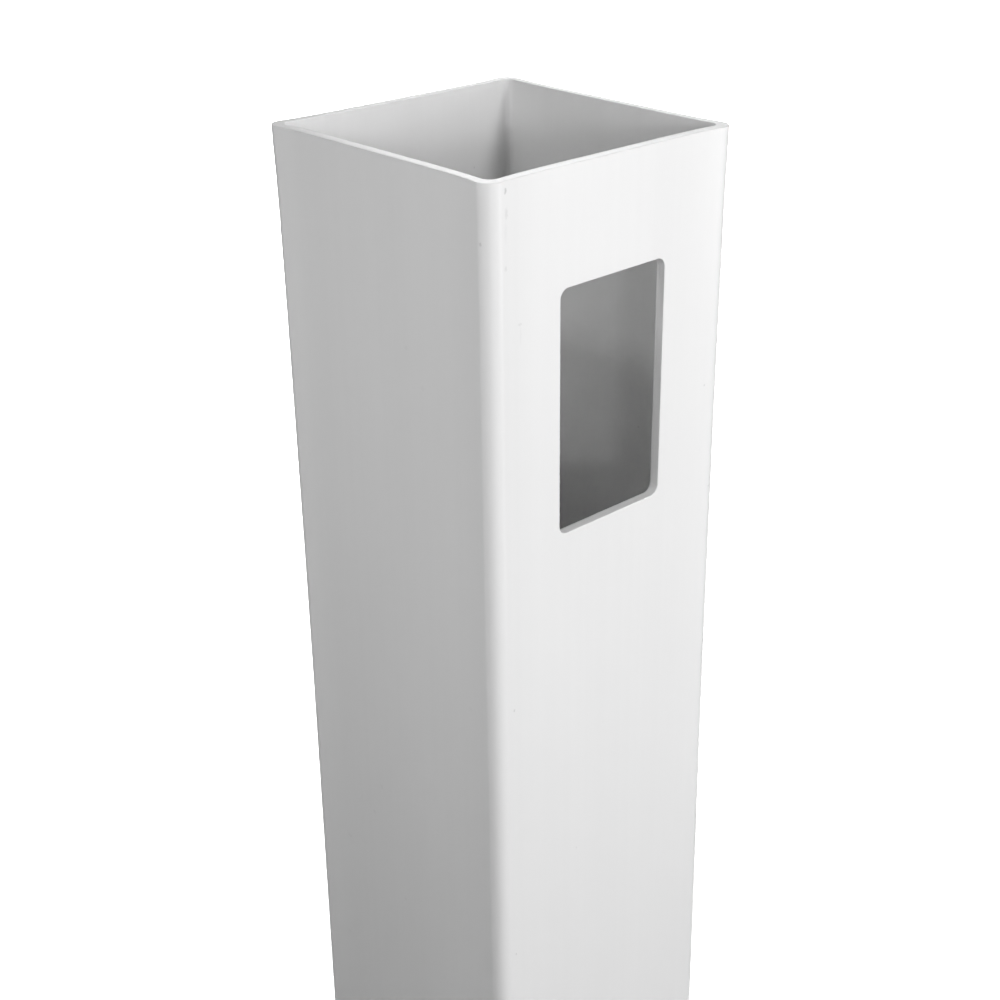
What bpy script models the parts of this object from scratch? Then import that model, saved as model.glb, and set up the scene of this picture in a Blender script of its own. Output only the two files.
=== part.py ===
"""Hollow square vinyl fence post, open at both sawn ends, with two routed rail holes in its front face.

Metres, +Z up. The origin is the middle of the post's foot, where it meets the ground. The front is -Y.
"""
import bmesh
import bpy
from math import radians

# The extruded tube
POST_HEIGHT = 1.2192  # ground to open top, 4 ft
POST_WIDTH = 0.1016  # across the flats, 4 in
WALL = 0.00343  # 0.135 in
CORNER_RADIUS = 0.005  # outside of the four long corners
BORE_CORNER_RADIUS = 0.0035  # inside them, where the wall is thicker

# The routed rail holes, alike and on the middle of the front face
RAIL_HOLE_WIDTH = 0.0445  # 1 3/4 in
RAIL_HOLE_HEIGHT = 0.079
RAIL_HOLE_RADIUS = 0.003175  # left by a 1/4 in router bit
UPPER_HOLE_DROP = 0.0365  # post's top down to the upper hole's top edge
LOWER_SILL_HEIGHT = 0.150  # ground up to the lower hole's sill

# How finely the curves are cut
ARC_SEGMENTS = 12
SHARP_ANGLE = radians(30)

# How far a cutter stands past the faces that it cuts
OVERSHOOT = 0.005

# Worked out from the sizes above
BORE_WIDTH = POST_WIDTH - 2 * WALL
UPPER_SILL_HEIGHT = POST_HEIGHT - UPPER_HOLE_DROP - RAIL_HOLE_HEIGHT
FRONT_FACE_Y = -POST_WIDTH / 2


def clear_scene():
    for old in list(bpy.data.objects):
        bpy.data.objects.remove(old, do_unlink=True)


def make_collection(name):
    group = bpy.data.collections.new(name)
    bpy.context.scene.collection.children.link(group)
    return group


def white_vinyl():
    material = bpy.data.materials.new("white_vinyl")
    material.use_nodes = True
    shader = material.node_tree.nodes["Principled BSDF"]
    shader.inputs["Base Color"].default_value = (0.86, 0.86, 0.85, 1.0)
    shader.inputs["Roughness"].default_value = 0.38
    shader.inputs["Metallic"].default_value = 0.0
    return material


def rounded_block(name, group, size, place, along, radius):
    """A box centred at place, with the four edges that run along the axis named rounded."""
    axis = "XYZ".index(along)
    form = bmesh.new()
    bmesh.ops.create_cube(form, size=1.0)
    bmesh.ops.scale(form, vec=size, verts=form.verts)
    long_edges = [
        edge for edge in form.edges
        if abs((edge.verts[1].co - edge.verts[0].co)[axis]) > size[axis] / 2
    ]
    bmesh.ops.bevel(
        form, geom=long_edges, affect="EDGES", offset_type="OFFSET", offset=radius,
        segments=ARC_SEGMENTS, profile=0.5, clamp_overlap=True,
    )
    mesh = bpy.data.meshes.new(name)
    form.to_mesh(mesh)
    form.free()
    block = bpy.data.objects.new(name, mesh)
    block.location = place
    group.objects.link(block)
    return block


def cut(piece, cutter):
    """Take the cutter's form out of the piece, and show the cutter as wire only."""
    difference = piece.modifiers.new(cutter.name, "BOOLEAN")
    difference.operation = "DIFFERENCE"
    difference.solver = "EXACT"
    difference.object = cutter
    cutter.display_type = "WIRE"
    cutter.hide_render = True


def make_tube(parts, cutters):
    """The extruded tube, hollow from end to end."""
    tube = rounded_block(
        "post", parts, (POST_WIDTH, POST_WIDTH, POST_HEIGHT), (0, 0, POST_HEIGHT / 2), "Z", CORNER_RADIUS
    )
    bore = rounded_block(
        "bore_cutter", cutters, (BORE_WIDTH, BORE_WIDTH, POST_HEIGHT + 2 * OVERSHOOT),
        (0, 0, POST_HEIGHT / 2), "Z", BORE_CORNER_RADIUS,
    )
    cut(tube, bore)
    return tube


def rout_rail_hole(tube, cutters, name, sill_height):
    """A rail hole through the front wall only, its sill at the height given."""
    hole = rounded_block(
        name, cutters, (RAIL_HOLE_WIDTH, WALL + 2 * OVERSHOOT, RAIL_HOLE_HEIGHT),
        (0, FRONT_FACE_Y + WALL / 2, sill_height + RAIL_HOLE_HEIGHT / 2), "Y", RAIL_HOLE_RADIUS,
    )
    cut(tube, hole)


def bake_and_shade(piece):
    """Make the cuts part of the mesh, smooth over the arcs and sharp at the sawn and routed edges."""
    evaluated = piece.evaluated_get(bpy.context.evaluated_depsgraph_get())
    piece.data = bpy.data.meshes.new_from_object(evaluated)
    piece.data.name = piece.name
    piece.modifiers.clear()
    piece.data.shade_smooth()
    piece.data.set_sharp_from_angle(angle=SHARP_ANGLE)


def main():
    clear_scene()
    parts = make_collection("fence_post")
    cutters = make_collection("cutters")
    post = make_tube(parts, cutters)
    rout_rail_hole(post, cutters, "upper_rail_hole_cutter", UPPER_SILL_HEIGHT)
    rout_rail_hole(post, cutters, "lower_rail_hole_cutter", LOWER_SILL_HEIGHT)
    bake_and_shade(post)
    post.data.materials.clear()
    post.data.materials.append(white_vinyl())


main()
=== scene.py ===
"""Looks of a hollow white vinyl fence post: its finished surface, a pale floor, soft lights and the camera.

Metres, +Z up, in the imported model's frame: the origin is the middle of the foot, and the rail holes face -Y.
"""
from math import cos, exp, pi, radians, sin

import bmesh
import bpy
from mathutils import Matrix, Vector


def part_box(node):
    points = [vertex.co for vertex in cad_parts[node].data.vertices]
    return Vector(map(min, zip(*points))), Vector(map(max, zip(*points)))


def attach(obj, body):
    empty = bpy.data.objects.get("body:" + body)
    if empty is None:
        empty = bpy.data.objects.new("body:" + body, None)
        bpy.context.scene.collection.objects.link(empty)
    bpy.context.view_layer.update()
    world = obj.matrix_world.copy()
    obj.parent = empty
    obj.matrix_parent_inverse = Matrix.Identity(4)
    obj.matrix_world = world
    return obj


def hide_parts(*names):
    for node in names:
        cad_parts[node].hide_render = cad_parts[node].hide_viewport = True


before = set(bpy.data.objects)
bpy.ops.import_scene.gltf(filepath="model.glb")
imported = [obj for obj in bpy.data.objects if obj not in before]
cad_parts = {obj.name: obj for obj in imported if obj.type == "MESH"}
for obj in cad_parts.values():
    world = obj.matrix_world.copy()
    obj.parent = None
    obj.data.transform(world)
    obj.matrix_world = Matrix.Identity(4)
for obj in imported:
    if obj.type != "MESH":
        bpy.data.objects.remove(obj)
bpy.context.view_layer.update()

MM = 0.001

# The post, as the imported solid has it
POST_LOW, POST_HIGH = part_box("post")
WIDTH = POST_HIGH.x - POST_LOW.x
HEIGHT = POST_HIGH.z - POST_LOW.z
WALL = 3.43 * MM
CORNER_RADIUS = 5 * MM
BORE_CORNER_RADIUS = 3.5 * MM
HOLE_WIDTH = 44.5 * MM
HOLE_HEIGHT = 79 * MM
HOLE_RADIUS = 3.175 * MM
UPPER_HOLE_DROP = 36.5 * MM  # post's top down to the upper hole's top edge
UPPER_SILL = HEIGHT - UPPER_HOLE_DROP - HOLE_HEIGHT
LOWER_SILL = 150 * MM
HALF = WIDTH / 2
FRONT_Y = -HALF

# How finely the curves are cut, and how far a cutter stands past the faces that it cuts
OUTER_SEGMENTS = 20
INNER_SEGMENTS = 10
HOLE_SEGMENTS = 16
OVERSHOOT = 5 * MM

# Finish of the sawn and routed edges
BROKEN_EDGE = 0.28 * MM  # what the saw and the router leave on an edge
BROKEN_EDGE_SEGMENTS = 3
CRISP_ANGLE = radians(50)  # edges sharper than this are broken

# Where the walls are sliced, so that they can bend
NEAR_END_SLICES = (1.2, 2.5, 4, 6, 8, 10.5, 13.5, 17, 21, 26, 32)  # mm from a sawn end
SLICE_STEP = 10 * MM  # between the slices along the post
SLICE_SHARES = (0.12, 0.4, 0.55, 0.66, 0.74, 0.81, 0.87, 0.92)  # of the way from a wall's middle to its side
SLICE_TOLERANCE = 1e-7

# How the walls have moved off their true planes
END_FLARE = 0.42 * MM  # how far each face spreads at a sawn end
END_FLARE_REACH = 15 * MM
SWELL_DEPTH = 0.28 * MM  # slow swell and waist of the whole section along the post
SWELL_START = 35 * MM  # below the top, where the first waist begins
SWELL_LENGTH = 480 * MM
WALL_DISH = 1.1 * MM  # how far the middle of each wall has sunk between the corners
WALL_DISH_POWER = 6  # the higher, the flatter the middle
SAW_SLOPE = 0.93 * MM  # how much lower the saw left the top at +X than at -X
SAW_SLOPE_REACH = 30 * MM
WAVE_DEPTH = 0.05 * MM  # slow ripple of the extruded walls, a long and a short wave together
LONG_WAVE = 310 * MM
LONG_WAVE_SHARE = 0.6
LONG_WAVE_SHIFT = 0.37  # of its length, from face to face
SHORT_WAVE = 130 * MM
SHORT_WAVE_SHARE = 0.4
SHORT_WAVE_SHIFT = 0.61
SHORT_WAVE_LEAN = 90 * MM  # the distance across a wall over which the short wave shifts by its whole length

# The post's materials by number, and how faces are told apart
OUTSIDE, INSIDE, SAWN, ROUTED = range(4)
END_FACE_RISE = 0.9  # the least share of a sawn face's normal that points up or down
HOLE_FACE_LEAN = 0.5  # the most of a routed face's normal that points through the wall
FLAT_FACE_WEIGHT = 50

# Looks of the vinyl
VINYL_IOR = 1.53
OUTSIDE_TONE = 0.86
# The bore's walls are the same white vinyl; their tone is set darker than the outside's as painted shade for
# the dim bore
INSIDE_PAINTED_SHADE_TONE = 0.52
GLOSS_RANGE = 0.05  # how far the draw lines change the roughness
DRAW_LINE_WIDTH = 2.2 * MM
DRAW_LINE_STRETCH = (1, 1, 0.003)
GRAIN_SIZE = 0.45 * MM
CLOUD_SIZE = 45 * MM
CLOUD_STRETCH = (1, 1, 0.4)
SPECK_SPACING = 14 * MM
SPECK_RADIUS = 0.5 * MM
SPECK_SHARE = 0.3
SPECK_STRENGTH = 0.14

# Looks of the cuts
# Set lighter than the outside vinyl to brighten the top rims and the sill: painted light
CUT_TONE_WITH_PAINTED_LIGHT = 0.96
ROUTED_FUZZ = 0.4  # sheen of the loose fuzz that the router leaves
FUZZ_SHEEN_ROUGHNESS = 0.5
FUZZ_SIZE = 0.35 * MM
FUZZ_DEPTH = 0.012 * MM
SAW_CENTRE = (-0.13, -0.09, 0.0)
SAW_PITCH = 0.9 * MM  # between the arcs that the saw's teeth leave
SAW_ARC_DEPTH = 0.02 * MM
WAVE_TEXTURE_RATE = 20  # radians for each unit of Blender's wave texture

# Marks that show: face, place across it, depth below the top, half width and half height in mm, strength
OUTSIDE_MARKS = (
    ("front", -44.3, 2.9, 0.5, 1.1, 0.25),
    ("front", -44.0, 9.2, 0.8, 1.8, 0.1),
    ("front", -44.3, 14.5, 0.7, 3.5, 0.035),
    ("front", -44.2, 24.8, 0.7, 0.9, 0.1),
    ("front", -38.5, 42.6, 1.0, 0.5, 0.09),
    ("front", -38.3, 46.0, 0.5, 3.2, 0.04),
    ("front", -42.5, 169.3, 0.5, 0.6, 0.18),
    ("front", -43.2, 265.6, 0.5, 0.6, 0.18),
    ("left", -46.7, 17.3, 0.5, 0.6, 0.17),
    ("left", -11.7, 57.0, 0.9, 1.0, 0.035),
    ("left", -18.5, 67.9, 0.9, 1.0, 0.035),
    ("left", -36.9, 171.7, 0.9, 0.8, 0.03),
    ("left", 11.6, 226.4, 0.7, 1.2, 0.05),
    ("left", 16.5, 239.4, 1.0, 1.0, 0.05),
    ("left", 31.7, 257.8, 1.3, 0.6, 0.05),
    ("left", 1.0, 268.8, 0.8, 1.0, 0.04),
    ("left", 35.5, 303.9, 1.3, 0.6, 0.04),
)
INSIDE_MARKS = (
    ("inner right", -33.1, 2.3, 0.8, 0.8, 0.25),
    ("inner right", 21.7, 6.1, 0.9, 0.9, 0.09),
    ("inner back", -2.7, 5.4, 1.6, 0.8, 0.09),
)
MARK_THROUGH = 8 * MM  # how far a mark reaches through its wall, whose middle has sunk
MARK_CORE = 0.35  # the share of its radii within which a mark has its full strength
MARK_RIM = 1.2  # and that at which it ends
RAGGED_SIZE = 0.7 * MM
RAGGED_SHIFT = 0.9 * MM

# Camera, measured from the middle of the open top
CAMERA_PLACE = Vector((-348.4, -381.2, 121.6)) * MM
CAMERA_AZIMUTH = radians(-42.264)
CAMERA_PITCH = radians(25.761)
CAMERA_ROLL = radians(-0.864)
CAMERA_LENS = 61.329
CAMERA_NEAR = 0.01
CAMERA_FAR = 100.0
SENSOR = 36.0

# Lights round the post: name, azimuth from +X and elevation in degrees, distance in m, size in m, watts and,
# for some, how far their level lies above the post's top, or below it where that is negative
STUDIO_LIGHTS = (
    ("key", 239.5, 9.2, 1.5, 0.12, 2.0),
    ("key_soft", 252, 9.5, 1.5, 0.3, 2.9),
    ("front_right", 287, 11, 1.5, 0.5, 2.2),
    ("front_high", 286, 37, 1.2, 0.3, 5.0),
    ("front_near", 297, 0, 0.7, 0.3, 1.5, -0.06),
    ("front_low", 300, -25, 1.8, 0.8, 3.5),
    ("left_high", 175, 41, 1.2, 0.1, 1.5),
    ("left_near", 190, 8, 0.5, 0.3, 0.5),
    ("left_side", 187, 0, 0.5, 0.3, 0.38, -0.06),
    ("left_low", 162, 0, 0.8, 0.3, 0.12, -0.12),
    ("behind", 45, 28, 1.1, 0.4, 4.3),
)
LIGHT_AIM_DEPTH = 0.1

# The floor, and the lights over it behind the post: name, place, height, size, watts
FLOOR_REACH = 30.0
FLOOR_COLOUR = (0.8, 0.8, 0.8, 1.0)
FLOOR_ROUGHNESS = 0.9
FLOOR_POOLS = (
    ("pool_far", (3.7, 4.6), 3.8, 4.6, 720),
    ("pool_mid", (2.2, 2.4), 3.0, 1.6, 60),
    ("pool_near", (0.95, 1.05), 2.2, 0.8, 18),
)
POOL_SPREAD = radians(70)
WORLD_COLOUR = (1, 1, 1, 1)
WORLD_STRENGTH = 0.02


def new_object(name, data):
    made = bpy.data.objects.new(name, data)
    bpy.context.scene.collection.objects.link(made)
    return made


def rounded_block(name, size, place, along, radius, segments):
    """A box centred at place, with the four edges that run along the axis named rounded."""
    axis = "XYZ".index(along)
    form = bmesh.new()
    bmesh.ops.create_cube(form, size=1.0)
    bmesh.ops.scale(form, vec=size, verts=form.verts)
    long_edges = [
        edge for edge in form.edges
        if abs((edge.verts[1].co - edge.verts[0].co)[axis]) > size[axis] / 2
    ]
    bmesh.ops.bevel(
        form, geom=long_edges, affect="EDGES", offset_type="OFFSET", offset=radius,
        segments=segments, profile=0.5, clamp_overlap=True,
    )
    bmesh.ops.translate(form, vec=place, verts=form.verts)
    mesh = bpy.data.meshes.new(name)
    form.to_mesh(mesh)
    form.free()
    return new_object(name, mesh)


def cut_away(piece, cutters):
    """Take the cutters' forms out of the piece for good."""
    for cutter in cutters:
        difference = piece.modifiers.new(cutter.name, "BOOLEAN")
        difference.operation = "DIFFERENCE"
        difference.solver = "EXACT"
        difference.object = cutter
    evaluated = piece.evaluated_get(bpy.context.evaluated_depsgraph_get())
    piece.data = bpy.data.meshes.new_from_object(evaluated)
    piece.modifiers.clear()
    for cutter in cutters:
        bpy.data.objects.remove(cutter, do_unlink=True)


def make_cut_tube():
    """The tube with its bore and its two rail holes, every edge still sharp."""
    bore_width = WIDTH - 2 * WALL
    middle = Vector((0, 0, HEIGHT / 2))
    tube = rounded_block("vinyl_post", (WIDTH, WIDTH, HEIGHT), middle, "Z", CORNER_RADIUS, OUTER_SEGMENTS)
    cutters = [
        rounded_block(
            "bore_cutter", (bore_width, bore_width, HEIGHT + 2 * OVERSHOOT), middle, "Z",
            BORE_CORNER_RADIUS, INNER_SEGMENTS,
        )
    ]
    for name, sill in (("upper_cutter", UPPER_SILL), ("lower_cutter", LOWER_SILL)):
        place = Vector((0, FRONT_Y + WALL / 2, sill + HOLE_HEIGHT / 2))
        size = (HOLE_WIDTH, WALL + 2 * OVERSHOOT, HOLE_HEIGHT)
        cutters.append(rounded_block(name, size, place, "Y", HOLE_RADIUS, HOLE_SEGMENTS))
    cut_away(tube, cutters)
    return tube


def break_edges(form):
    """Round off every sawn and routed edge by a hair."""
    crisp = [edge for edge in form.edges if edge.is_manifold and edge.calc_face_angle() > CRISP_ANGLE]
    bmesh.ops.bevel(
        form, geom=crisp, affect="EDGES", offset_type="OFFSET", offset=BROKEN_EDGE,
        segments=BROKEN_EDGE_SEGMENTS, profile=0.5, clamp_overlap=False,
    )


def slice_form(form, places, normal):
    """Cut the faces along parallel planes, so that the walls can bend between them."""
    for place in places:
        bmesh.ops.bisect_plane(
            form, geom=form.verts[:] + form.edges[:] + form.faces[:], dist=SLICE_TOLERANCE,
            plane_co=Vector(normal) * place, plane_no=normal, clear_inner=False, clear_outer=False,
        )


def slice_heights():
    """Heights to slice at: close together near the sawn ends, wider along the post."""
    near_end = [depth * MM for depth in NEAR_END_SLICES]
    first = near_end[-1] + SLICE_STEP
    count = int((HEIGHT - 2 * first) / SLICE_STEP)
    middle = [first + (HEIGHT - 2 * first) * i / count for i in range(count + 1)]
    return near_end + middle + [HEIGHT - depth for depth in near_end]


def slices_across():
    """Places to slice at on both sides of a wall's middle: closer together where the wall bends more."""
    return [side * HALF * share for share in SLICE_SHARES for side in (-1, 1)]


def away_from_ends(height):
    """0 at the sawn ends, 1 along the post."""
    depth = min(height, HEIGHT - height)
    return 1 - exp(-(depth / END_FLARE_REACH) ** 2)


def section_spread(height):
    """How far the faces stand out at a height: 0 at the sawn ends, pulled in along the post."""
    swell = SWELL_DEPTH * sin(2 * pi * (HEIGHT - height - SWELL_START) / SWELL_LENGTH)
    return -away_from_ends(height) * (END_FLARE + swell)


def wall_dish(across):
    """How far a wall has sunk at a place across it: most in its middle, nothing at its corners."""
    return WALL_DISH * (1 - min(abs(across) / (HALF - CORNER_RADIUS), 1) ** WALL_DISH_POWER)


def top_drop(x, height):
    """How far the sloping saw cut brings the top down, fading out below it."""
    share = max(0, 1 - (HEIGHT - height) / SAW_SLOPE_REACH)
    return SAW_SLOPE * share * (x / HALF + 1) / 2


def wave(across, height, seed):
    """A slow ripple between -1 and 1, different on each face."""
    long_turns = height / LONG_WAVE + LONG_WAVE_SHIFT * seed
    short_turns = height / SHORT_WAVE + across / SHORT_WAVE_LEAN + SHORT_WAVE_SHIFT * seed
    return LONG_WAVE_SHARE * sin(2 * pi * long_turns) + SHORT_WAVE_SHARE * sin(2 * pi * short_turns)


def bend_walls(form):
    """Dish and ripple the walls, spread the sawn ends and slope the top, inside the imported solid's box."""
    for vert in form.verts:
        x, y, z = vert.co
        spread = section_spread(z)
        ripple_x = WAVE_DEPTH * away_from_ends(z) * wave(y, z, 1 if x > 0 else 2)
        ripple_y = WAVE_DEPTH * away_from_ends(z) * wave(x, z, 3 if y > 0 else 4)
        vert.co.x += (x / HALF) * (spread + ripple_x - wall_dish(y))
        vert.co.y += (y / HALF) * (spread + ripple_y - wall_dish(x))
        vert.co.z -= top_drop(x, z)


def mark_surfaces(form):
    """Give each face the material of its surface."""
    inside_limit = HALF - WALL / 2
    for face in form.faces:
        centre = face.calc_center_median()
        normal = face.normal
        outermost = max(abs(centre.x), abs(centre.y))
        at_end = abs(normal.z) > END_FACE_RISE and min(centre.z, HEIGHT - centre.z) < WALL
        in_wall = abs(centre.y - (FRONT_Y + WALL / 2)) < WALL / 2 - BROKEN_EDGE / 2
        beside_hole = abs(centre.x) < HOLE_WIDTH / 2 + BROKEN_EDGE and abs(normal.y) < HOLE_FACE_LEAN
        if at_end:
            face.material_index = SAWN
        elif in_wall and beside_hole:
            face.material_index = ROUTED
        elif outermost < inside_limit:
            face.material_index = INSIDE
        else:
            face.material_index = OUTSIDE


def make_post(materials):
    """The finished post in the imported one's place, its materials in the order of their numbers."""
    post = make_cut_tube()
    form = bmesh.new()
    form.from_mesh(post.data)
    break_edges(form)
    slice_form(form, slice_heights(), (0, 0, 1))
    slice_form(form, slices_across(), (1, 0, 0))
    slice_form(form, slices_across(), (0, 1, 0))
    form.normal_update()
    mark_surfaces(form)
    bend_walls(form)
    form.to_mesh(post.data)
    form.free()
    post.data.materials.clear()
    for material in materials:
        post.data.materials.append(material)
    post.data.shade_smooth()
    weighted = post.modifiers.new("flat faces stay flat", "WEIGHTED_NORMAL")
    weighted.mode = "FACE_AREA"
    weighted.weight = FLAT_FACE_WEIGHT
    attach(post, "root")
    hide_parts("post")


def new_material(name):
    """A material with nodes, together with its node tree and its shader."""
    material = bpy.data.materials.new(name)
    material.use_nodes = True
    tree = material.node_tree
    return material, tree, tree.nodes["Principled BSDF"]


def add(tree, kind, inputs, **settings):
    """A shader node with its settings and inputs filled in; an input is a value or another node's output."""
    node = tree.nodes.new("ShaderNode" + kind)
    for name, value in settings.items():
        setattr(node, name, value)
    for socket_name, value in inputs.items():
        socket = node.inputs[socket_name]
        if isinstance(value, bpy.types.NodeSocket):
            tree.links.new(value, socket)
        else:
            socket.default_value = value
    return node


def stretched(tree, place, scale):
    return add(tree, "Mapping", {"Vector": place, "Scale": scale}).outputs["Vector"]


def noise(tree, place, wavelength, detail=2.0):
    """Noise from 0 to 1 whose coarsest lumps are about a wavelength across."""
    inputs = {"Vector": place, "Scale": 1 / wavelength, "Detail": detail}
    return add(tree, "TexNoise", inputs).outputs["Fac"]


def remap(tree, value, low, high, to_low, to_high):
    inputs = {"Value": value, "From Min": low, "From Max": high, "To Min": to_low, "To Max": to_high}
    return add(tree, "MapRange", inputs, interpolation_type="SMOOTHSTEP").outputs["Result"]


def combine(tree, operation, first, second):
    return add(tree, "Math", {0: first, 1: second}, operation=operation).outputs["Value"]


def bumped(tree, height, depth, normal=None):
    """The normal of a surface whose height goes from 0 to depth."""
    inputs = {"Height": height, "Distance": depth, "Strength": 1.0}
    if normal:
        inputs["Normal"] = normal
    return add(tree, "Bump", inputs).outputs["Normal"]


def smudge(tree, place, centre, radii, strength):
    """A soft-edged mark: strength at its centre, 0 past its radii."""
    offset = add(tree, "VectorMath", {0: place, 1: centre}, operation="SUBTRACT").outputs["Vector"]
    shares = add(tree, "VectorMath", {0: offset, 1: radii}, operation="DIVIDE").outputs["Vector"]
    reach = add(tree, "VectorMath", {0: shares}, operation="LENGTH").outputs["Value"]
    return remap(tree, reach, MARK_CORE, MARK_RIM, strength, 0.0)


def smudges(tree, place, marks):
    """All the marks of a surface together, their outlines made ragged."""
    ragged = add(tree, "TexNoise", {"Vector": place, "Scale": 1 / RAGGED_SIZE, "Detail": 1.0}).outputs["Color"]
    shift = add(tree, "VectorMath", {0: ragged, 1: (0.5, 0.5, 0.5)}, operation="SUBTRACT").outputs["Vector"]
    shift = add(tree, "VectorMath", {0: shift, "Scale": RAGGED_SHIFT}, operation="SCALE").outputs["Vector"]
    place = add(tree, "VectorMath", {0: place, 1: shift}, operation="ADD").outputs["Vector"]
    total = 0.0
    for face, across, depth, half_width, half_height, strength in marks:
        centre, radii = mark_on_face(face, across, depth, half_width, half_height)
        total = combine(tree, "ADD", total, smudge(tree, place, centre, radii, strength))
    return total


def mark_on_face(face, across, depth, half_width, half_height):
    """Where a mark lies, given in mm from its face's middle and the post's top, and how far it reaches."""
    inner = HALF - WALL
    z = HEIGHT - depth * MM
    along_x = (half_width * MM, MARK_THROUGH, half_height * MM)
    along_y = (MARK_THROUGH, half_width * MM, half_height * MM)
    return {
        "front": (Vector((across * MM, -HALF, z)), along_x),
        "left": (Vector((-HALF, across * MM, z)), along_y),
        "inner back": (Vector((across * MM, inner, z)), along_x),
        "inner right": (Vector((inner, across * MM, z)), along_y),
    }[face]


def specks(tree, place, spacing, radius, share, strength):
    """Stray specks: a share of the cells of a random pattern hold one each."""
    cells = add(tree, "TexVoronoi", {"Vector": place, "Scale": 1 / spacing, "Randomness": 1.0})
    near = remap(tree, cells.outputs["Distance"], 0.4 * radius / spacing, radius / spacing, strength, 0.0)
    chosen = add(tree, "SeparateColor", {"Color": cells.outputs["Color"]}).outputs["Red"]
    held = combine(tree, "LESS_THAN", chosen, share)
    return combine(tree, "MULTIPLY", near, held)


def vinyl(name, tone, roughness, line_depth, grain_depth, cloudiness, marks):
    """Extruded white vinyl: draw lines along the post, a fine grain, faint clouds, specks and scuffs."""
    material, tree, shader = new_material(name)
    shader.inputs["IOR"].default_value = VINYL_IOR
    place = add(tree, "TexCoord", {}).outputs["Object"]
    lines = noise(tree, stretched(tree, place, DRAW_LINE_STRETCH), DRAW_LINE_WIDTH, 3.0)
    grain = noise(tree, place, GRAIN_SIZE)
    clouds = noise(tree, stretched(tree, place, CLOUD_STRETCH), CLOUD_SIZE)
    scuffs = smudges(tree, place, marks)
    stray = specks(tree, place, SPECK_SPACING, SPECK_RADIUS, SPECK_SHARE, SPECK_STRENGTH)
    dirt = combine(tree, "ADD", scuffs, stray)
    clean = combine(tree, "SUBTRACT", 1.0, dirt)
    cloudy = remap(tree, clouds, 0.3, 0.7, 1 - cloudiness, 1 + cloudiness)
    streaky = remap(tree, lines, 0.3, 0.7, 1 - cloudiness / 2, 1 + cloudiness / 2)
    colour = combine(tree, "MULTIPLY", combine(tree, "MULTIPLY", cloudy, streaky), tone)
    tree.links.new(combine(tree, "MULTIPLY", colour, clean), shader.inputs["Base Color"])
    gloss = remap(tree, lines, 0.25, 0.75, roughness - GLOSS_RANGE, roughness + GLOSS_RANGE)
    tree.links.new(combine(tree, "ADD", gloss, dirt), shader.inputs["Roughness"])
    normal = bumped(tree, grain, grain_depth, bumped(tree, lines, line_depth))
    tree.links.new(normal, shader.inputs["Normal"])
    return material


def cut_vinyl(name, sheen):
    """Where the saw or the router went through: matt, with fine arcs of the teeth and loose fuzz in them."""
    material, tree, shader = new_material(name)
    shader.inputs["IOR"].default_value = VINYL_IOR
    shader.inputs["Sheen Weight"].default_value = sheen
    shader.inputs["Sheen Roughness"].default_value = FUZZ_SHEEN_ROUGHNESS
    place = add(tree, "TexCoord", {}).outputs["Object"]
    blade = add(tree, "VectorMath", {0: place, 1: SAW_CENTRE}, operation="SUBTRACT").outputs["Vector"]
    arcs_scale = 2 * pi / (WAVE_TEXTURE_RATE * SAW_PITCH)
    arcs_inputs = {"Vector": blade, "Scale": arcs_scale, "Distortion": 1.5, "Detail": 3.0}
    arcs = add(tree, "TexWave", arcs_inputs, wave_type="RINGS", rings_direction="Z").outputs["Fac"]
    fuzz = noise(tree, place, FUZZ_SIZE, 3.0)
    arc_tone = remap(tree, arcs, 0.0, 1.0, -0.02, 0.01)
    fuzz_tone = remap(tree, fuzz, 0.3, 0.7, -0.02, 0.02)
    tone = combine(tree, "ADD", arc_tone, fuzz_tone)
    # Painted light: the cut faces' base colour is raised to make the rims and the sill brighter
    tree.links.new(combine(tree, "ADD", tone, CUT_TONE_WITH_PAINTED_LIGHT), shader.inputs["Base Color"])
    tree.links.new(remap(tree, fuzz, 0.3, 0.7, 0.8, 0.9), shader.inputs["Roughness"])
    normal = bumped(tree, fuzz, FUZZ_DEPTH, bumped(tree, arcs, SAW_ARC_DEPTH))
    tree.links.new(normal, shader.inputs["Normal"])
    return material


def make_floor():
    form = bmesh.new()
    bmesh.ops.create_grid(form, x_segments=1, y_segments=1, size=FLOOR_REACH)
    mesh = bpy.data.meshes.new("floor")
    form.to_mesh(mesh)
    form.free()
    floor = new_object("floor", mesh)
    material, _, shader = new_material("pale_floor")
    shader.inputs["Base Color"].default_value = FLOOR_COLOUR
    shader.inputs["Roughness"].default_value = FLOOR_ROUGHNESS
    mesh.materials.append(material)


def soft_light(name, place, target, size, watts, spread=pi):
    """A square area light at place, facing the target."""
    data = bpy.data.lights.new(name, "AREA")
    data.shape = "SQUARE"
    data.size = size
    data.energy = watts
    data.spread = spread
    light = new_object(name, data)
    light.location = place
    light.rotation_mode = "QUATERNION"
    light.rotation_quaternion = (target - place).to_track_quat("-Z", "Y")


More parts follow.
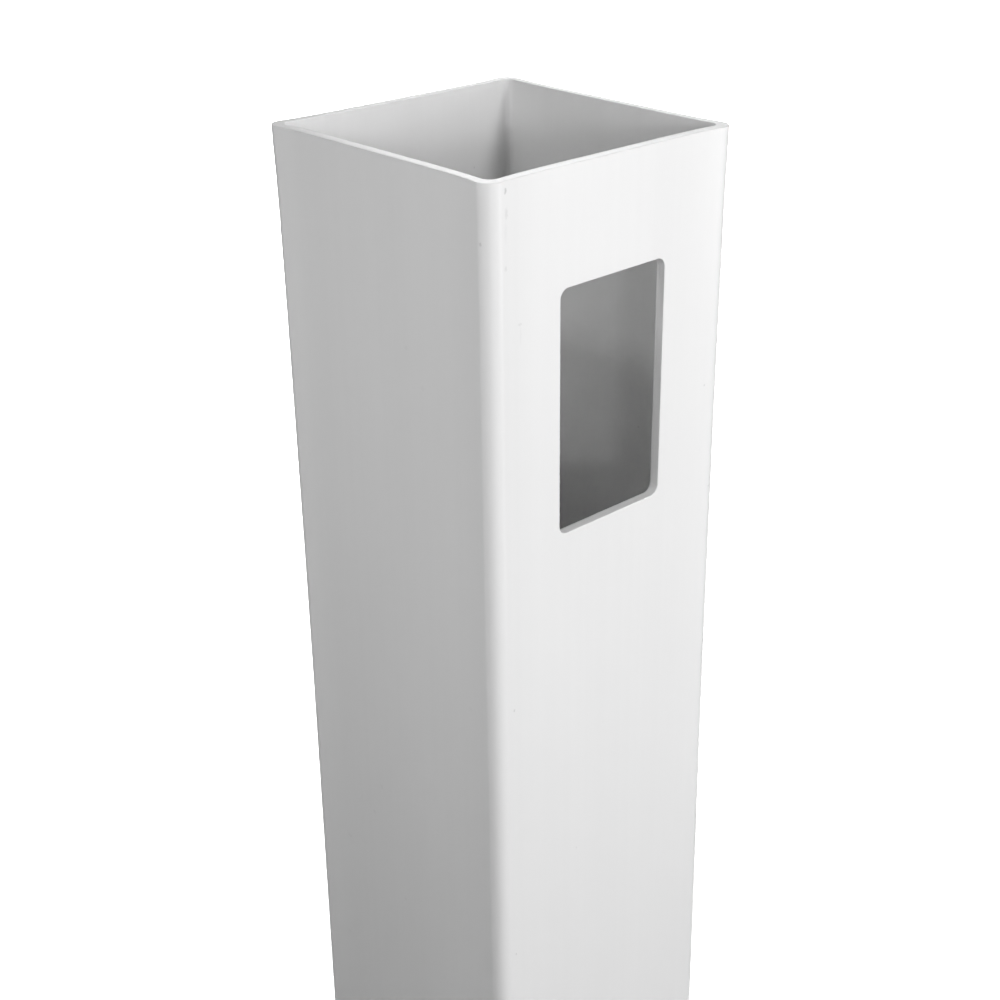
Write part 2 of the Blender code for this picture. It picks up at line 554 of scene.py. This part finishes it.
def studio_light(name, azimuth, elevation, distance, size, watts, level=0.0):
    """A soft light seen from the post's top at an azimuth, counted from +X, and an elevation in degrees."""
    turn, lift = radians(azimuth), radians(elevation)
    reach = distance * cos(lift)
    place = Vector((reach * cos(turn), reach * sin(turn), HEIGHT + level + distance * sin(lift)))
    soft_light(name, place, Vector((0, 0, HEIGHT - LIGHT_AIM_DEPTH)), size, watts)


def floor_pool(name, place, height, size, watts):
    """A light that shines straight down on the floor behind the post and not on the post."""
    x, y = place
    soft_light(name, Vector((x, y, height)), Vector((x, y, 0)), size, watts, POOL_SPREAD)


def make_lights():
    for row in STUDIO_LIGHTS:
        studio_light(*row)
    for row in FLOOR_POOLS:
        floor_pool(*row)
    world = bpy.data.worlds.new("studio")
    bpy.context.scene.world = world
    world.use_nodes = True
    background = world.node_tree.nodes["Background"]
    background.inputs["Color"].default_value = WORLD_COLOUR
    background.inputs["Strength"].default_value = WORLD_STRENGTH


def make_camera():
    data = bpy.data.cameras.new("camera")
    data.lens = CAMERA_LENS
    data.sensor_width = SENSOR
    data.clip_start = CAMERA_NEAR
    data.clip_end = CAMERA_FAR
    camera = new_object("camera", data)
    camera.matrix_world = (
        Matrix.Translation(Vector((0, 0, HEIGHT)) + CAMERA_PLACE)
        @ Matrix.Rotation(CAMERA_AZIMUTH, 4, "Z")
        @ Matrix.Rotation(pi / 2 - CAMERA_PITCH, 4, "X")
        @ Matrix.Rotation(CAMERA_ROLL, 4, "Z")
    )
    bpy.context.scene.camera = camera


def set_view_transform():
    view = bpy.context.scene.view_settings
    view.view_transform = "Standard"
    view.look = "None"
    view.exposure = 0.0
    view.gamma = 1.0


outside = vinyl(
    "vinyl_outside", tone=OUTSIDE_TONE, roughness=0.4, line_depth=0.008 * MM, grain_depth=0.002 * MM,
    cloudiness=0.008, marks=OUTSIDE_MARKS,
)
# Painted shade: a darker copy of the outside vinyl stands in for the shade inside the bore
inside = vinyl(
    "vinyl_inside_painted_shade", tone=INSIDE_PAINTED_SHADE_TONE, roughness=0.5, line_depth=0.016 * MM, grain_depth=0.004 * MM,
    cloudiness=0.02, marks=INSIDE_MARKS,
)
sawn = cut_vinyl("vinyl_sawn_painted_light", sheen=0.0)
routed = cut_vinyl("vinyl_routed_painted_light", sheen=ROUTED_FUZZ)
make_post([outside, inside, sawn, routed])
make_floor()
make_lights()
make_camera()
set_view_transform()
